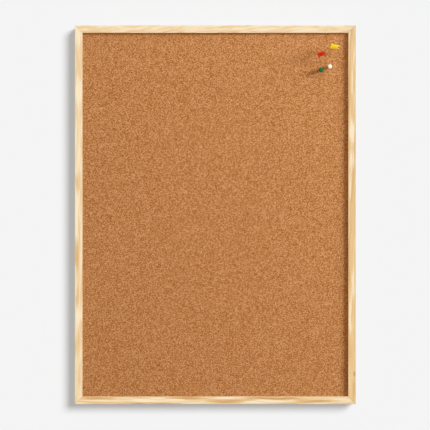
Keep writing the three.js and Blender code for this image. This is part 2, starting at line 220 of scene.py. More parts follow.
class Recipe:
    """The node tree of one material, whose patterns are laid out in millimetres, or of the world."""

    def __init__(self, name: str, world: bool = False) -> None:
        """Starts an empty material, or a world, of that name."""
        self.owner = (bpy.data.worlds if world else bpy.data.materials).new(name)
        self.owner.use_nodes = True
        self.tree = self.owner.node_tree
        self.tree.nodes.clear()

    def node(self, kind: str, settings: dict | None = None, sockets: dict | None = None) -> Wire:
        """Adds any node.

        Args:
            kind: The node's type.
            settings: Its properties, which are set first.
            sockets: Values or wires by the input's name or number.

        Returns:
            The node's first output that is in use.
        """
        made = self.tree.nodes.new(kind)
        for name, value in (settings or {}).items():
            setattr(made, name, value)
        for key, value in (sockets or {}).items():
            target = made.inputs[key]
            if isinstance(key, str):
                target = next(s for s in made.inputs if s.name == key and s.enabled)
            if isinstance(value, Wire):
                self.tree.links.new(value.socket, target)
            else:
                target.default_value = value
        return Wire(self, next((s for s in made.outputs if s.enabled), None))

    def place(self) -> Wire:
        """Gives the point on the piece in millimetres."""
        spot = self.node("ShaderNodeTexCoord").out("Object")
        return self.node("ShaderNodeVectorMath", {"operation": "SCALE"}, {0: spot, "Scale": 1.0 / MM})

    def axes(self) -> tuple[Wire, Wire, Wire]:
        """Gives the point's x, y and z in millimetres."""
        parts = self.node("ShaderNodeSeparateXYZ", {}, {0: self.place()})
        return parts.out("X"), parts.out("Y"), parts.out("Z")

    def vector(self, x: Value, y: Value, z: Value) -> Wire:
        """Joins three values to a vector."""
        return self.node("ShaderNodeCombineXYZ", {}, {"X": x, "Y": y, "Z": z})

    def clouds(self, where: Wire, scale: float = 1.0, detail: float = 2.0, rough: float = 0.5) -> Wire:
        """Adds soft noise from 0 to 1.

        Args:
            where: The place in the pattern.
            scale: Features per unit of that place.
            detail: How many finer layers are added.
            rough: How strong each finer layer is.

        Returns:
            The noise.
        """
        sockets = {"Vector": where, "Scale": scale, "Detail": detail, "Roughness": rough}
        return self.node("ShaderNodeTexNoise", {}, sockets)

    def wander(self, along: Wire, length: float, seed: float) -> Wire:
        """Adds a slow drift from about -1 to 1 along a line.

        Args:
            along: The place on the line.
            length: The length of one swing.
            seed: Picks the drift.

        Returns:
            The drift.
        """
        sockets = {"W": along / length + seed, "Scale": 1.0, "Detail": 1.0}
        return self.node("ShaderNodeTexNoise", {"noise_dimensions": "1D"}, sockets) * 4.0 - 2.0

    def cells(self, where: Wire, size: float) -> Wire:
        """Adds a pattern of irregular cells of that size, whose outputs are Distance and Color."""
        return self.node("ShaderNodeTexVoronoi", {}, {"Vector": where, "Scale": 1.0 / size})

    def draw(self, cells: Wire) -> Wire:
        """Draws one value from 0 to 1 for each cell."""
        return self.node("ShaderNodeSeparateColor", {}, {"Color": cells.out("Color")})

    def mix(self, share: Value, first: Union[Colour, Wire], second: Union[Colour, Wire]) -> Wire:
        """Mixes two colours.

        Args:
            share: How much of the second colour there is.
            first: The colour at 0.
            second: The colour at 1.

        Returns:
            The mixed colour.
        """
        return self.node("ShaderNodeMix", {"data_type": "RGBA"}, {"Factor": share, "A": first, "B": second})

    def bump(self, height: Wire, distance: float, strength: float) -> Wire:
        """Turns a height from 0 to 1 into a normal.

        Args:
            height: The height.
            distance: The real height, in millimetres, of a height of 1.
            strength: How much of it shows.

        Returns:
            The normal.
        """
        sockets = {"Height": height, "Distance": distance * MM, "Strength": strength}
        return self.node("ShaderNodeBump", {}, sockets)

    def surface(self, sockets: dict) -> bpy.types.Material:
        """Closes the recipe with a principled shader.

        Args:
            sockets: The shader's values and wires by name.

        Returns:
            The finished material.
        """
        shader = self.node("ShaderNodeBsdfPrincipled", {}, sockets)
        self.node("ShaderNodeOutputMaterial", {}, {"Surface": shader})
        return self.owner


class Run(Enum):
    """The way a rail's grain runs."""

    LEVEL = "level"
    UPRIGHT = "upright"


@dataclass(frozen=True)
class Knot:
    """A small knot: its place along and across the rail from the rail's middle, and its half sizes."""

    along: float
    across: float
    length: float = 3.6
    width: float = 1.7


@dataclass(frozen=True)
class Lens:
    """A lens of warmer wood, or paler where its tone is below 0, by its place and half sizes like a knot."""

    along: float
    across: float
    length: float
    width: float
    tone: float


@dataclass(frozen=True)
class PineFinish:
    """Planed pine: year rings of a trunk that runs past the rail at a slant, with flames of warmer wood."""

    name: str
    run: Run
    seed: float
    pith: tuple[float, float]
    slant: tuple[float, float]
    spacing: float = 5.0
    figure: float = 0.6
    flames: float = 0.6
    flame_length: float = 42.0
    shear: float = 0.1
    sway: float = 1.5
    warmth: float = 0.1
    knot: Knot | None = None
    lenses: tuple[Lens, ...] = ()
    waver: float = 8.0
    feather: float = 70.0
    swing: float = 90.0
    flame_pitch: float = 0.28
    flame_rise: tuple[float, float] = (0.4, 0.64)
    fibre_run: float = 0.03
    fibre_pitch: float = 1.6
    summer_rise: tuple[float, float] = (0.4, 0.92)
    summer_fall: tuple[float, float] = (0.94, 1.0)
    knot_edge: tuple[float, float] = (0.5, 2.2)
    heart_rise: tuple[float, float] = (0.3, 1.5)
    cream: Colour = srgb(252, 232, 196)
    honey: Colour = srgb(233, 194, 136)
    amber: Colour = srgb(201, 147, 88)
    bark: Colour = srgb(150, 94, 48)

    def material(self) -> bpy.types.Material:
        """Mixes the wood for one rail."""
        r = Recipe(self.name)
        x, y, z = r.axes()
        low, high = (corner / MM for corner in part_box(self.name))
        middle = (low + high) / 2
        along, across = x - middle.x, z - middle.z
        if self.run is Run.UPRIGHT:
            along, across = z - middle.z, x - middle.x
        run = along / self.flame_length - across * self.shear
        flame = r.vector(run, across * self.flame_pitch, y * self.flame_pitch + self.seed)
        flame = r.clouds(flame, detail=2.0, rough=0.45)
        aside = across - self.pith[0] - along * self.slant[0]
        aside = aside + r.wander(along, self.swing, self.seed) * self.sway
        behind = y - self.pith[1] - along * self.slant[1]
        ring = (aside * aside + behind * behind).root() / self.spacing
        eye = None
        if self.knot is not None:
            eye = 1.0 - self._reach(self.knot, along, across).root().step(*self.knot_edge)
            ring = ring + eye * 0.8
        phase = ring.fraction()
        tone = r.node("ShaderNodeTexWhiteNoise", {"noise_dimensions": "1D"}, {"W": ring.floor() + self.seed})
        summer = phase.step(*self.summer_rise) * (1.0 - phase.step(*self.summer_fall))
        summer = summer * (0.35 + 0.65 * tone) * self.figure
        fibre = r.vector(along * self.fibre_run, across * self.fibre_pitch, y * self.fibre_pitch)
        fibre = r.clouds(fibre, detail=4.0, rough=0.6)
        shade = flame.step(*self.flame_rise) * self.flames + summer * 0.6 + (fibre - 0.5) * 0.3 + self.warmth
        heart = self._lens_tone(along + (fibre - 0.5) * self.feather, across + (flame - 0.5) * self.waver)
        base = r.mix((shade + heart).step(0.0, 1.0), self.cream, self.honey)
        base = r.mix(heart.step(*self.heart_rise), base, self.amber)
        base = r.mix(summer.step(0.3, 1.0) * 0.8, base, self.amber)
        base = r.mix(fibre.step(0.6, 0.8) * 0.14, base, self.amber)
        if eye is not None:
            base = r.mix(eye.step(0.35, 1.0) * 0.45, base, self.bark)
        height = fibre * 0.6 + summer * 0.4
        return r.surface({
            "Base Color": base,
            "Roughness": 0.54 + fibre * 0.16 - summer * 0.1,
            "Normal": r.bump(height, 0.05, 0.6),
            "Specular IOR Level": 0.3,
        })

    def _reach(self, mark: Union[Knot, Lens], along: Wire, across: Wire) -> Wire:
        """Measures how far off a knot or a lens is.

        Args:
            mark: The knot or the lens.
            along: The place along the rail from its middle.
            across: The place across it.

        Returns:
            The square of the distance from the mark's middle, which is 1 at its edge.
        """
        ahead = (along - mark.along) / mark.length
        beside = (across - mark.across) / mark.width
        return ahead * ahead + beside * beside

    def _lens_tone(self, along: Wire, across: Wire) -> Wire:
        """Adds up the lenses, of which every rail has some.

        Args:
            along: The place along the rail from its middle.
            across: The place across it.

        Returns:
            How much warmer the wood is there.
        """
        reaches = [(self._reach(lens, along, across), lens.tone) for lens in self.lenses]
        return sum((1.0 - reach.step(0.0, 1.0)) * tone for reach, tone in reaches)


@dataclass(frozen=True)
class CorkFinish:
    """Fine pressed cork: pale and dark granules with finer crumbs between them and a few chips of bark."""

    name: str = "pressed_cork"
    granule: float = 1.0
    crumb: float = 0.5
    chip: float = 1.7
    chip_share: float = 0.05
    patch: float = 14.0
    pale_rise: tuple[float, float] = (0.45, 0.85)
    dark_fall: tuple[float, float] = (0.12, 0.5)
    pale: Colour = srgb(221, 164, 115)
    middle: Colour = srgb(189, 125, 66)
    dark: Colour = srgb(148, 79, 17)

    def material(self) -> bpy.types.Material:
        """Mixes the cork."""
        r = Recipe(self.name)
        place = r.place()
        granules = r.cells(place, self.granule)
        crumb_tone = r.draw(r.cells(place, self.crumb))
        bark = 1.0 - r.draw(r.cells(place, self.chip)).step(self.chip_share, self.chip_share + 0.02)
        broad = r.clouds(place, 1.0 / self.patch, detail=3.0)
        tone = r.draw(granules) * 0.65 + crumb_tone * 0.35 + (broad - 0.5) * 0.12
        base = r.mix(tone.step(*self.pale_rise), self.middle, self.pale)
        base = r.mix(1.0 - tone.step(*self.dark_fall), base, self.dark)
        base = r.mix(bark * 0.5, base, self.dark)
        height = crumb_tone * 0.5 + granules.out("Distance") * 0.5
        return r.surface({
            "Base Color": base,
            "Roughness": 0.84 + crumb_tone * 0.12,
            "Normal": r.bump(height, 0.06, 0.4),
            "Specular IOR Level": 0.12,
        })


@dataclass(frozen=True)
class FibreboardFinish:
    """Pressed wood fibre: soft and pale in the core, or hard and brown with a screen-marked back."""

    name: str
    base: Colour
    fleck: Colour
    screen_pitch: float = 0.0
    roughness: float = 0.8
    fibre_run: float = 0.16
    fibre_pitch: float = 0.5
    blotch: float = 24.0

    def material(self) -> bpy.types.Material:
        """Mixes the board."""
        r = Recipe(self.name)
        x, y, z = r.axes()
        fibre = r.clouds(r.vector(x * self.fibre_pitch, y, z * self.fibre_run), detail=5.0, rough=0.7)
        cross = r.clouds(r.vector(x * self.fibre_run, y, z * self.fibre_pitch), detail=5.0, rough=0.7)
        blotch = r.clouds(r.vector(x, y, z), 1.0 / self.blotch, detail=4.0, rough=0.6)
        tone = fibre * 0.5 + cross * 0.5 + (blotch - 0.5) * 0.35
        base = r.mix(tone.step(0.36, 0.64), self.base, self.fleck)
        height = fibre * 0.5 + cross * 0.5
        if self.screen_pitch > 0:
            turn = 2.0 * math.pi / self.screen_pitch
            weave = (x * turn).sine() * (z * turn).sine() * 0.5 + 0.5
            base = r.mix(weave.step(0.2, 0.9) * 0.3, base, self.base)
            height = height * 0.4 + weave * 0.6
        return r.surface({
            "Base Color": base,
            "Roughness": self.roughness + (fibre - 0.5) * 0.2,
            "Normal": r.bump(height, 0.15, 0.5),
        })


@dataclass(frozen=True)
class MetalFinish:
    """Bare or plated steel with faint drawing marks and dull patches."""

    name: str
    base: Colour
    dull: Colour
    roughness: float
    patch: float = 3.0
    mark_scale: float = 9.0

    def material(self) -> bpy.types.Material:
        """Mixes the metal."""
        r = Recipe(self.name)
        place = r.place()
        patches = r.clouds(place, 1.0 / self.patch, detail=3.0)
        marks = r.clouds(place, self.mark_scale)
        base = r.mix(patches.step(0.35, 0.7), self.base, self.dull)
        return r.surface({
            "Base Color": base,
            "Metallic": 1.0,
            "Roughness": self.roughness + (patches - 0.5) * 0.16 + (marks - 0.5) * 0.08,
            "Normal": r.bump(marks, 0.01, 0.4),
        })


@dataclass(frozen=True)
class PlasticFinish:
    """Glossy moulded plastic with faint flow marks."""

    name: str
    base: Colour
    flow: Colour
    flow_length: float = 2.2
    skin_scale: float = 4.0
    bleed: float = 1.2

    def material(self) -> bpy.types.Material:
        """Mixes the plastic."""
        r = Recipe(self.name)
        place = r.place()
        flow = r.clouds(place, 1.0 / self.flow_length, detail=3.0)
        skin = r.clouds(place, self.skin_scale)
        return r.surface({
            "Base Color": r.mix(flow.step(0.3, 0.75), self.base, self.flow),
            "Roughness": 0.22 + flow * 0.12,
            "Normal": r.bump(skin, 0.008, 0.4),
            "Specular IOR Level": 0.3,
            "Subsurface Weight": 0.3,
            "Subsurface Radius": (1.0, 1.0, 1.0),
            "Subsurface Scale": self.bleed * MM,
        })


class Piece:
    """A finished mesh on its way into the scene."""

    def __init__(self, name: str, bm: bmesh.types.BMesh, place: Matrix = Matrix.Identity(4)) -> None:
        """Sets a mesh in millimetres down at its place in metres.

        Args:
            name: The piece's name.
            bm: The mesh, which is freed.
            place: Where its own frame stands.
        """
        bmesh.ops.transform(bm, matrix=place @ Matrix.Scale(MM, 4), verts=bm.verts)
        mesh = bpy.data.meshes.new(name)
        bm.to_mesh(mesh)
        bm.free()
        mesh.shade_smooth()
        mesh.set_sharp_from_angle(angle=SHARP_ANGLE)
        self.object = bpy.data.objects.new(name, mesh)
        bpy.context.scene.collection.objects.link(self.object)

    def dress(self, material: bpy.types.Material, slot: str) -> "Piece":
        """Gives the piece its material."""
        self.object.data.materials.append(material)
        return self

    def stand_for(self, node: str) -> "Piece":
        """Replaces a CAD node and rides on its body."""
        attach(self.object, frame["nodes"][node]["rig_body"])
        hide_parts(node)
        LOG.info("%s stands for %s with %d faces", self.object.name, node, len(self.object.data.polygons))
        return self


def dress_node(node: str, material: bpy.types.Material) -> None:
    """Gives a CAD node that stays in view its material.

    Args:
        node: The node's name.
        material: Its finish.
    """
    mesh = frame["nodes"][node].data
    mesh.materials.clear()
    mesh.materials.append(material)
    LOG.info("%s wears %s", node, material.name)


def spun(profile: list[tuple[float, float]], steps: int) -> bmesh.types.BMesh:
    """Turns a profile once round the z axis.

    Args:
        profile: Points as radius and height, in millimetres.
        steps: How many sides the turn has.

    Returns:
        A closed mesh whose faces point out.
    """
    bm = bmesh.new()
    verts = [bm.verts.new((radius, 0.0, height)) for radius, height in profile]
    edges = [bm.edges.new(pair) for pair in zip(verts, verts[1:])]
    bmesh.ops.spin(
        bm, geom=verts + edges, cent=(0, 0, 0), axis=Z_AXIS, angle=2 * math.pi, steps=steps, use_merge=True
    )
    bmesh.ops.remove_doubles(bm, verts=bm.verts, dist=WELD)
    bmesh.ops.recalc_face_normals(bm, faces=bm.faces)
    return bm


def grow(bm: bmesh.types.BMesh, edges: list, move: Vector) -> list:
    """Draws edges out into faces.

    Args:
        bm: The mesh.
        edges: The edges.
        move: How far they are drawn.

    Returns:
        The edges at the far end.
    """
    grown = bmesh.ops.extrude_edge_only(bm, edges=edges)["geom"]
    far = {g for g in grown if isinstance(g, bmesh.types.BMVert)}
    bmesh.ops.translate(bm, vec=move, verts=list(far))
    return [g for g in grown if isinstance(g, bmesh.types.BMEdge) and far.issuperset(g.verts)]


def arc(radius: float, middle: float, start: float, end: float, steps: int) -> list[tuple[float, float]]:
    """Lists the points of an arc about a centre on the z axis.

    Args:
        radius: The arc's radius.
        middle: The height of its centre.
        start: The first angle, in degrees from straight down.
        end: The last angle.
        steps: How many chords it has.

    Returns:
        Points as radius and height.
    """
    angles = [math.radians(start + (end - start) * i / steps) for i in range(steps + 1)]
    return [(abs(radius * math.sin(a)), middle - radius * math.cos(a)) for a in angles]


@dataclass
class Frame:
    """The four mitred rails and the staples behind their corners."""

    rails: tuple[PineFinish, ...] = (
        PineFinish(
            "top_rail", Run.LEVEL, 3.1, (9.0, 14.0), (0.03, 0.01), 5.0, 0.15, 0.4, 16.0, 0.22, warmth=0.2,
            lenses=(
                Lens(-180, -3.6, 60, 3, 0.2), Lens(-121, -3.6, 19, 3, 0.45), Lens(-64, -3.6, 28, 2.5, 0.35),
                Lens(20, -3.6, 80, 2.5, 0.3), Lens(142, 1, 22, 5, -0.25), Lens(190, -2.5, 45, 5, 0.2),
            ),
        ),
        PineFinish(
            "bottom_rail", Run.LEVEL, 8.7, (-10.0, -2.0), (0.01, 0.03), 5.5, 0.6, 0.3, 40.0, 0.03, 3.0, 0.35,
            lenses=(
                Lens(-187, 3.2, 32, 3.5, 1.0), Lens(-103, 0, 76, 4, -0.3), Lens(-50, 3.8, 41, 2.8, 1.1),
                Lens(17, -1.3, 41, 2.8, 1.0), Lens(11, 3.5, 28, 2.4, -0.35), Lens(79, -2.5, 46, 3.2, -0.6),
                Lens(96, 2.8, 66, 3, 1.2), Lens(160, -1.2, 42, 2.8, 1.0), Lens(198, 2.7, 20, 3, -0.5),
                Lens(-103, -4.8, 70, 1.8, 1.0),
            ),
        ),
        PineFinish(
            "left_rail", Run.UPRIGHT, 5.2, (-5.0, 16.0), (0.01, 0.02), 6.0, 0.25, 0.4, 42.0, 0.07, warmth=0.2,
            lenses=(
                Lens(285, 0, 22, 7, -0.4), Lens(195, 0.8, 24, 7, -0.6), Lens(52, -2.4, 20, 4, 0.5),
                Lens(30, 3, 60, 3, 0.4), Lens(-4, -2.7, 52, 4.1, -0.7), Lens(-66, -2.7, 41, 4.1, 0.7),
                Lens(-131, -2, 21, 4, 0.55), Lens(-160, 0, 17, 6, -0.7), Lens(-205, -1.5, 35, 5, 0.4),
                Lens(-265, -1, 45, 6, 0.3),
            ),
        ),
        PineFinish(
            "right_rail", Run.UPRIGHT, 1.4, (14.0, 12.0), (0.01, 0.02), 6.0, 0.85, 0.55, 46.0, 0.08,
            warmth=0.62, knot=Knot(-252.0, 3.6),
            lenses=(
                Lens(250, 0, 90, 8, -0.35), Lens(134, 0.5, 22, 7, -1.0), Lens(86, 0.5, 18, 6, -0.8),
                Lens(10, -3.4, 70, 3, -0.4), Lens(16, 3.3, 66, 3.5, 0.5), Lens(-95, -3.6, 34, 3, 0.9),
                Lens(-110, 2, 32, 5, -0.4), Lens(-160, -3, 38, 3.5, -0.6), Lens(-217, -3, 21, 3.5, 0.7),
                Lens(-277, 3.3, 25, 3, 0.9),
            ),
        ),
    )
    wire: MetalFinish = MetalFinish("staple_wire", srgb(205, 205, 208), srgb(168, 168, 172), 0.32)

    def dress(self) -> None:
        """Dresses the rails and the staples."""
        for finish in self.rails:
            dress_node(finish.name, finish.material())
        wire = self.wire.material()
        for node in frame["nodes"]:
            if node.endswith("_staple"):
                dress_node(node, wire)


@dataclass
class Panel:
    """The cork sheet with its granules, the soft core and the hard back."""

    grid_step: float = 1.65
    relief: float = 0.09
    granule: float = 2.2
    prick: float = 0.6
    prick_depth: float = 2.6
    prick_sides: int = 8
    hollow: float = 0.6
    crumble: float = 0.2
    crumble_scale: float = 2.3
    cork: CorkFinish = CorkFinish()
    core: FibreboardFinish = FibreboardFinish("softboard", srgb(170, 140, 104), srgb(150, 118, 82))
    back: FibreboardFinish = FibreboardFinish("hardboard", srgb(136, 97, 64), srgb(98, 66, 42), 1.9, 0.62)

    def build(self) -> Piece:
        """Models the cork sheet with its grain and the pricks of the pins.

        Returns:
            The sheet.
        """
        low, high = (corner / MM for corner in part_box("cork_sheet"))
        size = high - low
        columns = round(size.x / self.grid_step)
        rows = round(size.z / self.grid_step)
        stand = Matrix.Translation(((low.x + high.x) / 2, low.y, (low.z + high.z) / 2))
        stand = stand @ Matrix.Rotation(math.pi / 2, 4, "X") @ Matrix.Diagonal((size.x / 2, size.z / 2, 1, 1))
        bm = bmesh.new()
        bmesh.ops.create_grid(bm, x_segments=columns, y_segments=rows, size=1.0, matrix=stand)
        self._roughen(bm)
        grow(bm, [edge for edge in bm.edges if edge.is_boundary], Y_AXIS * size.y)
        bmesh.ops.holes_fill(bm, edges=[e for e in bm.edges if e.is_boundary])
        for pull in (j for j in frame["joints"] if j["name"].endswith("_pin_pull")):
            self._prick(bm, pull["child"], Vector(pull["axis"]).normalized(), low.y)
        bmesh.ops.recalc_face_normals(bm, faces=bm.faces)
        return Piece("cork_face", bm)

    def _prick(self, bm: bmesh.types.BMesh, pin: str, out: Vector, face: float) -> None:
        """Opens the hole that a pin stands in.

        Args:
            bm: The sheet.
            pin: The pin's body.
            out: The needle's direction.
            face: The y of the cork's face.
        """
        low, high = (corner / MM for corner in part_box(pin.replace("_pin", "_needle")))
        foot = (low + high) / 2
        foot += out * ((face - foot.y) / out.y)
        nearest = min(bm.verts, key=lambda vert: (vert.co - foot).length)
        bmesh.ops.delete(bm, geom=[nearest], context="VERTS")
        mouth = [edge for edge in bm.edges if edge.is_boundary]
        turn = Vector((out.x, 0.0, out.z)).angle(X_AXIS, 0.0) * (-1.0 if out.z > 0 else 1.0)
        stand = Matrix.Translation(foot) @ Matrix.Rotation(turn, 4, "Y")
        stand = stand @ Matrix.Diagonal((-1.0 / out.y, 1, 1, 1)) @ Matrix.Rotation(math.pi / 2, 4, "X")
        ring = bmesh.ops.create_circle(bm, radius=self.prick, segments=self.prick_sides, matrix=stand)
        edges = list({edge for vert in ring["verts"] for edge in vert.link_edges})
        bmesh.ops.bridge_loops(bm, edges=mouth + edges)
        grow(bm, edges, out * (self.prick_depth / out.y))
        bmesh.ops.holes_fill(bm, edges=[e for e in bm.edges if e.is_boundary])

    def _roughen(self, bm: bmesh.types.BMesh) -> None:
        """Presses the gaps between the granules in from the face.

        Args:
            bm: The flat grid.
        """
        for vert in bm.verts:
            if vert.is_boundary:
                continue
            spot = vert.co / self.granule
            near, _ = noise.voronoi(spot)
            depth = min(1.0, near[0]) * self.hollow
            depth += (noise.noise(spot * self.crumble_scale) + 1.0) * self.crumble
            vert.co.y += self.relief * depth

    def dress(self) -> None:
        """Builds the sheet and dresses the three layers."""
        self.build().dress(self.cork.material(), "cork").stand_for("cork_sheet")
        dress_node("softboard_core", self.core.material())
        dress_node("backing_board", self.back.material())


def joint(name: str) -> dict:
    """Finds a joint of the frame by its name."""
    return next(j for j in frame["joints"] if j["name"] == name)


def pin_place(foot: Vector, out: Vector, turn: float = 0.0) -> Matrix:
    """Stands a pin's own frame on the cork: z runs out along the needle and x the way a flag flies.

    Args:
        foot: The origin, in metres.
        out: The needle's direction.
        turn: How far the flag is turned about the needle, in degrees.

    Returns:
        The frame's place.
    """
    out = out.normalized()
    fly = (X_AXIS - out * out.x).normalized()
    stand = Matrix((fly, out.cross(fly), out)).transposed().to_4x4()
    return Matrix.Translation(foot) @ stand @ Matrix.Rotation(math.radians(turn), 4, "Z")


@dataclass
class Needle:
    """The polished wire of a pin."""

    diameter: float = 0.9
    point: float = 3.0
    ease: float = 0.1
    taper_steps: int = 5
    sides: int = 24

    def build(self, tip: float, top: float) -> bmesh.types.BMesh:
        """Turns the needle from its point to its hidden end.

        Args:
            tip: Height of the point.
            top: Height of the end inside the head.

        Returns:
            The needle.
        """
        radius = self.diameter / 2
        shares = [i / self.taper_steps for i in range(self.taper_steps + 1)]
        taper = [(radius * math.sin(math.pi / 2 * share), tip + self.point * share) for share in shares]
        return spun([*taper, (radius, top - self.ease), (radius - self.ease, top), (0.0, top)], self.sides)


@dataclass
class BallPin:
    """A round-headed pin."""

    colour: str
    plastic: PlasticFinish
    diameter: float = 7.4
    below: float = 10.5
    inside: float = 4.8
    bore: float = 0.55
    seam: float = 0.05
    seam_angle: float = 3.0
    rings: int = 14
    sides: int = 48

    def place(self) -> Matrix:
        """Gives the frame whose origin is where the needle enters the ball."""
        out = Vector(joint(f"{self.colour}_pin_pull")["axis"]).normalized()
        low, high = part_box(f"{self.colour}_ball")
        return pin_place((low + high) / 2 - out * self.diameter / 2 * MM, out)

    def build_ball(self) -> bmesh.types.BMesh:
        """Turns the ball with its moulding seam round the middle and its socket for the needle."""
        radius = self.diameter / 2
        mouth = math.degrees(math.asin(self.bore / radius))
        lower = arc(radius, radius, mouth, 90.0 - self.seam_angle, self.rings)
        bead = [(radius + self.seam, radius)]
        upper = arc(radius, radius, 90.0 + self.seam_angle, 180.0, self.rings)
        roof = self.inside + NEEDLE_PLAY
        return spun([(0.0, roof), (self.bore, roof), *lower, *bead, *upper], self.sides)

    def dress(self, steel: bpy.types.Material) -> None:
        """Builds the ball and its needle and sets them in the cork.

        Args:
            steel: The needle's finish.
        """
        place = self.place()
        ball = Piece(f"{self.colour}_ball_head", self.build_ball(), place)
        ball.dress(self.plastic.material(), f"{self.colour}_plastic").stand_for(f"{self.colour}_ball")
        needle = Piece(f"{self.colour}_pin_needle", Needle().build(-self.below, self.inside), place)
        needle.dress(steel, "needle_steel").stand_for(f"{self.colour}_needle")


@dataclass
class FlagPin:
    """A pin with a swallow-tailed flag moulded on it."""

    colour: str
    plastic: PlasticFinish
    fly: float
    turn: float
    shows: float
    below: float = 23.0
    hoist: float = 8.5
    tips: float = 6.6
    notch: float = 4.4
    thickness: float = 1.2
    edge: float = 0.3
    sleeve: float = 2.8
    chamfer: float = 0.3
    roof: float = 1.0
    bore: float = 0.55
    dome_rings: int = 8
    sides: int = 40

    def place(self) -> Matrix:
        """Gives the frame whose origin is at the foot of the flag's sleeve."""
        turn = joint(f"{self.colour}_flag_turn")
        out = Vector(turn["axis"]).normalized()
        return pin_place(Vector(turn["pos_m"]) + out * self.shows * MM, out, self.turn)

    def build_cloth(self) -> bmesh.types.BMesh:
        """Cuts the flag with its two tails and rounds its edges."""
        low = (self.hoist - self.tips) / 2
        corners = [
            (0.0, 0.0),
            (self.fly, low),
            (self.fly - self.notch, self.hoist / 2),
            (self.fly, self.hoist - low),
            (0.0, self.hoist),
        ]
        bm = bmesh.new()
        face = bm.faces.new([bm.verts.new((x, -self.thickness / 2, z)) for x, z in corners])
        grown = bmesh.ops.extrude_face_region(bm, geom=[face])["geom"]
        front = [v for v in grown if isinstance(v, bmesh.types.BMVert)]
        bmesh.ops.translate(bm, vec=Y_AXIS * self.thickness, verts=front)
        bmesh.ops.recalc_face_normals(bm, faces=bm.faces)
        bmesh.ops.bevel(
            bm, geom=bm.edges[:], offset=self.edge, segments=3, profile=0.5, affect="EDGES", material=-1
        )
        return bm

    def build_sleeve(self) -> bmesh.types.BMesh:
        """Turns the sleeve that holds the needle, open below and domed on top."""
        radius = self.sleeve / 2
        roof = self.hoist - self.roof
        rim = [(self.bore, 0.0), (radius - self.chamfer, 0.0), (radius, self.chamfer)]
        dome = arc(radius, self.hoist, 90.0, 180.0, self.dome_rings)
        return spun([(0.0, roof), (self.bore, roof), *rim, *dome], self.sides)

    def build_flag(self) -> bmesh.types.BMesh:
        """Joins the flag to its sleeve as one moulding."""
        sleeve = Piece(f"{self.colour}_sleeve_blank", self.build_sleeve()).object
        cloth = Piece(f"{self.colour}_cloth_blank", self.build_cloth()).object
        union = sleeve.modifiers.new("moulded_on", "BOOLEAN")
        union.operation = "UNION"
        union.solver = "EXACT"
        union.object = cloth
        shown = sleeve.evaluated_get(bpy.context.evaluated_depsgraph_get())
        bm = bmesh.new()
        bm.from_mesh(shown.to_mesh())
        bmesh.ops.scale(bm, vec=(1.0 / MM,) * 3, verts=bm.verts)
        shown.to_mesh_clear()
        for blank in (sleeve, cloth):
            bpy.data.objects.remove(blank)
        return bm

    def dress(self, steel: bpy.types.Material) -> None:
        """Builds the flag and its needle and sets them in the cork.

        Args:
            steel: The needle's finish.
        """
        place = self.place()
        flag = Piece(f"{self.colour}_flag_head", self.build_flag(), place)
        flag.dress(self.plastic.material(), f"{self.colour}_plastic").stand_for(f"{self.colour}_flag")
        needle = Needle().build(-self.below, self.hoist - self.roof - NEEDLE_PLAY)
        needle = Piece(f"{self.colour}_pin_needle", needle, place)
        needle.dress(steel, "needle_steel").stand_for(f"{self.colour}_needle")


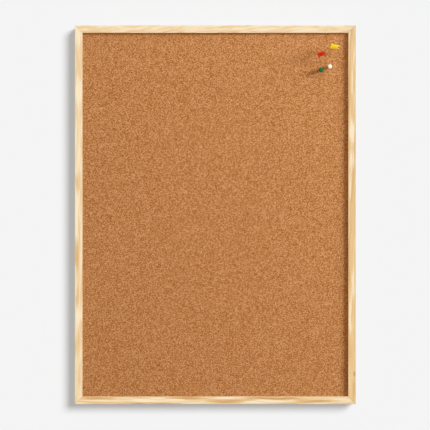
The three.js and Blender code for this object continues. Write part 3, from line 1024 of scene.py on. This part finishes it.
@dataclass
class Hanger:
    """A wire ring in the eye of a folded strap that a screw holds to the back of a side rail."""

    side: str
    wire: float = 1.8
    span: float = 10.0
    rise: float = 10.0
    bend: float = 1.5
    butt: float = 0.5
    wire_sides: int = 16
    bend_steps: int = 6
    crown_steps: int = 28
    fold_edge: float = 0.12
    screw_edge: float = 0.1
    flat_angle: float = 1.0
    rim_angle: float = 50.0

    def build_ring(self) -> bmesh.types.BMesh:
        """Bends the ring from a straight wire, from one end in the eye round to the other."""
        half = self.span / 2
        run = half - self.bend
        shoulder = self.rise - half
        bm = bmesh.new()
        start = Matrix.Translation((self.butt / 2, 0, 0)) @ Matrix.Rotation(math.pi / 2, 4, "Y")
        bmesh.ops.create_circle(bm, radius=self.wire / 2, segments=self.wire_sides, matrix=start)
        end = bm.edges[:]
        end = grow(bm, end, X_AXIS * (run - self.butt / 2))
        end = self._curve(bm, end, (run, 0, self.bend), 90.0, self.bend_steps)
        end = grow(bm, end, Z_AXIS * (shoulder - self.bend))
        end = self._curve(bm, end, (0, 0, shoulder), 180.0, self.crown_steps)
        end = grow(bm, end, Z_AXIS * (self.bend - shoulder))
        end = self._curve(bm, end, (-run, 0, self.bend), 90.0, self.bend_steps)
        grow(bm, end, X_AXIS * (run - self.butt / 2))
        bmesh.ops.holes_fill(bm, edges=[e for e in bm.edges if e.is_boundary])
        bmesh.ops.recalc_face_normals(bm, faces=bm.faces)
        return bm

    def _curve(self, bm: bmesh.types.BMesh, end: list, centre: tuple, angle: float, steps: int) -> list:
        """Bends the wire round a centre.

        Args:
            bm: The ring so far.
            end: The edges of its end.
            centre: The middle of the bend.
            angle: How far it bends, in degrees.
            steps: How many chords the bend has.

        Returns:
            The edges of the new end.
        """
        loop = end + list({v for edge in end for v in edge.verts})
        turned = bmesh.ops.spin(
            bm, geom=loop, cent=centre, axis=-Y_AXIS, angle=math.radians(angle), steps=steps
        )
        return [g for g in turned["geom_last"] if isinstance(g, bmesh.types.BMEdge)]

    def soften(self, node: str, edge: float) -> bmesh.types.BMesh:
        """Copies a CAD node and rounds its sharp edges.

        Args:
            node: The node's name.
            edge: The rounding.

        Returns:
            The rounded copy, in millimetres.
        """
        bm = bmesh.new()
        bm.from_mesh(frame["nodes"][node].data)
        bmesh.ops.scale(bm, vec=(1.0 / MM,) * 3, verts=bm.verts)
        bmesh.ops.remove_doubles(bm, verts=bm.verts, dist=WELD * 10)
        flat, sharp = math.radians(self.flat_angle), math.radians(self.rim_angle)
        bmesh.ops.dissolve_limit(bm, angle_limit=flat, verts=bm.verts, edges=bm.edges)
        rims = [e for e in bm.edges if e.is_manifold and e.calc_face_angle() > sharp]
        bmesh.ops.bevel(bm, geom=rims, offset=edge, segments=2, profile=0.5, affect="EDGES", material=-1)
        return bm

    def dress(self, zinc: bpy.types.Material) -> None:
        """Builds and dresses the hanger.

        Args:
            zinc: The finish of the strap, ring and screw.
        """
        pivot = Vector(joint(f"{self.side}_ring_swing")["pos_m"])
        ring = Piece(f"{self.side}_wire_ring", self.build_ring(), Matrix.Translation(pivot))
        ring.dress(zinc, "zinc_steel").stand_for(f"{self.side}_hanger_ring")
        for part, edge in (("strap", self.fold_edge), ("screw", self.screw_edge)):
            node = f"{self.side}_hanger_{part}"
            piece = Piece(f"{self.side}_{part}_rounded", self.soften(node, edge))
            piece.dress(zinc, "zinc_steel").stand_for(node)


@dataclass(frozen=True)
class SoftBox:
    """A round lamp that is aimed at the middle of the cork, with its distance and width in metres.

    Its direction is from the board to the lamp. Its power is the brightness that it gives white cork there.
    """

    name: str
    towards: Direction
    distance: float
    width: float
    power: float
    tint: Tint = LAMP_TINT

    def lamp(self) -> tuple[bpy.types.Light, Vector]:
        """Makes the lamp.

        Returns:
            The lamp and the spot where it hangs.
        """
        way = Vector(self.towards).normalized()
        lamp = bpy.data.lights.new(self.name, "AREA")
        lamp.shape = "DISK"
        lamp.size = self.width
        lamp.energy = self.power * (math.pi * self.distance) ** 2 / -way.y
        low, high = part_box("cork_sheet")
        return lamp, (low + high) / 2 + way * self.distance


@dataclass(frozen=True)
class Sun:
    """A soft light from far away, which looks as wide as its spread in degrees.

    Its power is the brightness that it gives a white face square to it.
    """

    name: str
    towards: Direction
    spread: float
    power: float
    tint: Tint = LAMP_TINT
    distance: float = 3.0

    def lamp(self) -> tuple[bpy.types.Light, Vector]:
        """Makes the lamp.

        Returns:
            The lamp and the spot where it hangs.
        """
        lamp = bpy.data.lights.new(self.name, "SUN")
        lamp.angle = math.radians(self.spread)
        lamp.energy = self.power * math.pi
        return lamp, Vector(self.towards).normalized() * self.distance


@dataclass
class Studio:
    """The pale wall and floor, the soft lights and the camera in front of the board."""

    wall_gap: float = 0.4
    floor_drop: float = 160.0
    cove: float = 120.0
    cove_steps: int = 24
    floor_step: float = 0.5
    reach: float = 6000.0
    camera_distance: float = 2200.0
    view_width: float = 681.1
    sensor: float = 36.0
    pin_colours: tuple[str, ...] = ("yellow", "red", "white", "green")
    aim_offset: tuple[float, float] = (-0.49, -0.41)
    paint: float = 0.12
    tone: float = 0.862
    backdrop: float = 0.905
    ambient: float = 0.38
    air_tint: Tint = (1.12, 0.92, 0.72)
    key: SoftBox = SoftBox("key_light", (3.0, -1.0, 1.12), 4.5, 1.75, 0.55)
    fill: SoftBox = SoftBox("fill_light", (0.15, -0.8, 1.0), 1.28, 0.7, 0.07)
    rail_sun: Sun = Sun("rail_light", (0.45, -1.0, 0.55), 40.0, 0.76)
    pin_sun: Sun = Sun("pin_light", (0.45, -1.0, 0.0), 40.0, 1.33)
    wall_sun: Sun = Sun("wall_light", (0.72, -1.0, 0.52), 27.0, 5.3, (0.99, 1.01, 1.03))
    back_sun: Sun = Sun("back_light", (-0.7, 1.0, 0.35), 30.0, 0.7)

    def build(self) -> None:
        """Sets up the whole studio."""
        low, high = (corner / MM for corner in CAD_BOX)
        wall, floor = self._walls(low, high)
        self._lights(wall, floor)
        self._camera()
        self._air()
        bpy.context.scene.view_settings.view_transform = "Standard"

    def _air(self) -> None:
        """Fills the room with even light and hangs a pale backdrop all round."""
        r = Recipe("studio_air", world=True)
        air = r.node("ShaderNodeBackground", {}, {"Color": (*self.air_tint, 1.0), "Strength": self.ambient})
        pale = r.node("ShaderNodeBackground", {}, {"Color": WHITE, "Strength": self.backdrop})
        seen = r.node("ShaderNodeLightPath").out("Is Camera Ray")
        air = r.node("ShaderNodeMixShader", {}, {0: seen, 1: air, 2: pale})
        r.node("ShaderNodeOutputWorld", {}, {"Surface": air})
        bpy.context.scene.world = r.owner

    def _paint(self, one_sided: bool) -> bpy.types.Material:
        """Mixes the pale paint of the wall or the floor, which glows where the light falls at a slant.

        Args:
            one_sided: Whether the back of the surface is left open to view.

        Returns:
            The paint.
        """
        r = Recipe("wall_paint" if one_sided else "floor_paint")
        matt = r.node("ShaderNodeBsdfDiffuse", {}, {"Color": (self.paint, self.paint, self.paint, 1.0)})
        towards = Vector(self.wall_sun.towards).normalized()
        normal = r.node("ShaderNodeNewGeometry").out("Normal")
        facing = r.node("ShaderNodeVectorMath", {"operation": "DOT_PRODUCT"}, {0: normal, 1: towards})
        glow = self.tone - facing * (self.paint * self.wall_sun.power)
        glow = r.node("ShaderNodeEmission", {}, {"Color": glow})
        matt = r.node("ShaderNodeAddShader", {}, {0: matt, 1: glow})
        if one_sided:
            behind = r.node("ShaderNodeNewGeometry").out("Backfacing")
            clear = r.node("ShaderNodeBsdfTransparent")
            matt = r.node("ShaderNodeMixShader", {}, {0: behind, 1: matt, 2: clear})
        r.node("ShaderNodeOutputMaterial", {}, {"Surface": matt})
        return r.owner

    def _walls(self, low: Vector, high: Vector) -> tuple[bpy.types.Object, bpy.types.Object]:
        """Builds the wall with its cove and the floor.

        Args:
            low: Lowest corner of the board.
            high: Highest corner of the board.

        Returns:
            The wall and the floor.
        """
        wall_y = high.y + self.wall_gap
        floor_z = low.z - self.floor_drop
        bm = bmesh.new()
        top = bm.verts.new((-self.reach, wall_y, self.reach))
        foot = bm.verts.new((-self.reach, wall_y, floor_z + self.cove))
        bm.edges.new((top, foot))
        centre = (-self.reach, wall_y - self.cove, floor_z + self.cove)
        bmesh.ops.spin(
            bm, geom=[foot], cent=centre, axis=-X_AXIS, angle=math.pi / 2, steps=self.cove_steps
        )
        grow(bm, bm.edges[:], X_AXIS * 2 * self.reach)
        bmesh.ops.recalc_face_normals(bm, faces=bm.faces)
        bm.faces.ensure_lookup_table()
        if sum(face.normal.y for face in bm.faces) > 0:
            bmesh.ops.reverse_faces(bm, faces=bm.faces)
        wall = Piece("studio_wall", bm).object
        wall.data.materials.append(self._paint(True))
        wall.visible_shadow = False
        bm = bmesh.new()
        stand = Matrix.Translation((0, 0, floor_z - self.floor_step))
        bmesh.ops.create_grid(bm, x_segments=1, y_segments=1, size=self.reach, matrix=stand)
        floor = Piece("studio_floor", bm).object
        floor.data.materials.append(self._paint(False))
        for surface in (wall, floor):
            surface.visible_diffuse = False
            surface.visible_glossy = False
        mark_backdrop(wall, floor)
        return wall, floor

    def _lights(self, wall: bpy.types.Object, floor: bpy.types.Object) -> None:
        """Hangs the lights: soft boxes for the cork, and soft suns for all the rest.

        Args:
            wall: The wall.
            floor: The floor.
        """
        room = bpy.data.collections.new("room_surfaces")
        for surface in (wall, floor):
            room.objects.link(surface)
        cork = bpy.data.collections.new("cork_surface")
        pins = bpy.data.collections.new("pins")
        rest = bpy.data.collections.new("frame_and_back")
        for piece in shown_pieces():
            pinned = piece.name.startswith(self.pin_colours)
            (cork if piece.name == "cork_face" else pins if pinned else rest).objects.link(piece)
        lit = (
            (self.key, cork), (self.fill, cork), (self.rail_sun, rest),
            (self.pin_sun, pins), (self.wall_sun, room), (self.back_sun, rest),
        )
        for light, surfaces in lit:
            self._hang(light, surfaces)

    def _hang(self, light: Union[SoftBox, Sun], lit: bpy.types.Collection) -> None:
        """Puts a light up.

        Args:
            light: The light.
            lit: The surfaces that it lights.
        """
        lamp, place = light.lamp()
        lamp.color = light.tint
        stand = bpy.data.objects.new(light.name, lamp)
        stand.location = place
        stand.rotation_euler = (-Vector(light.towards)).to_track_quat("-Z", "Y").to_euler()
        stand.visible_camera = False
        bpy.context.scene.collection.objects.link(stand)
        stand.light_linking.receiver_collection = lit

    def _camera(self) -> None:
        """Stands the camera square in front of the board."""
        low, high = (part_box("left_rail")[0] / MM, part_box("right_rail")[1] / MM)
        lens = bpy.data.cameras.new("camera")
        lens.sensor_width = self.sensor
        lens.lens = self.sensor * self.camera_distance / self.view_width
        stand = bpy.data.objects.new("camera", lens)
        middle = (low + high) / 2
        aside, up = self.aim_offset
        stand.location = Vector((middle.x + aside, low.y - self.camera_distance, middle.z + up)) * MM
        stand.rotation_euler = (math.pi / 2, 0.0, 0.0)
        bpy.context.scene.collection.objects.link(stand)
        bpy.context.scene.camera = stand


def main() -> None:
    """Dresses the board and sets it up in the studio."""
    logging.basicConfig(level=logging.INFO, format="%(message)s")
    Frame().dress()
    Panel().dress()
    needle_steel = MetalFinish("needle_steel", srgb(214, 207, 194), srgb(178, 169, 154), 0.2).material()
    zinc = MetalFinish("zinc_plate", srgb(198, 200, 204), srgb(160, 163, 168), 0.34).material()
    yellow = PlasticFinish("yellow_plastic", srgb(255, 226, 52), srgb(255, 212, 26))
    red = PlasticFinish("red_plastic", srgb(216, 38, 0), srgb(195, 28, 0))
    white = PlasticFinish("white_plastic", srgb(248, 245, 220), srgb(243, 238, 210))
    green = PlasticFinish("green_plastic", srgb(6, 114, 50), srgb(3, 96, 40))
    pins = [
        FlagPin("yellow", yellow, fly=14.5, turn=6.0, shows=16.5),
        FlagPin("red", red, fly=12.0, turn=14.0, shows=12.5),
        BallPin("white", white),
        BallPin("green", green),
    ]
    for pin in pins:
        pin.dress(needle_steel)
    for side in ("left", "right"):
        Hanger(side).dress(zinc)
    Studio().build()


if __name__ == "__main__":
    main()
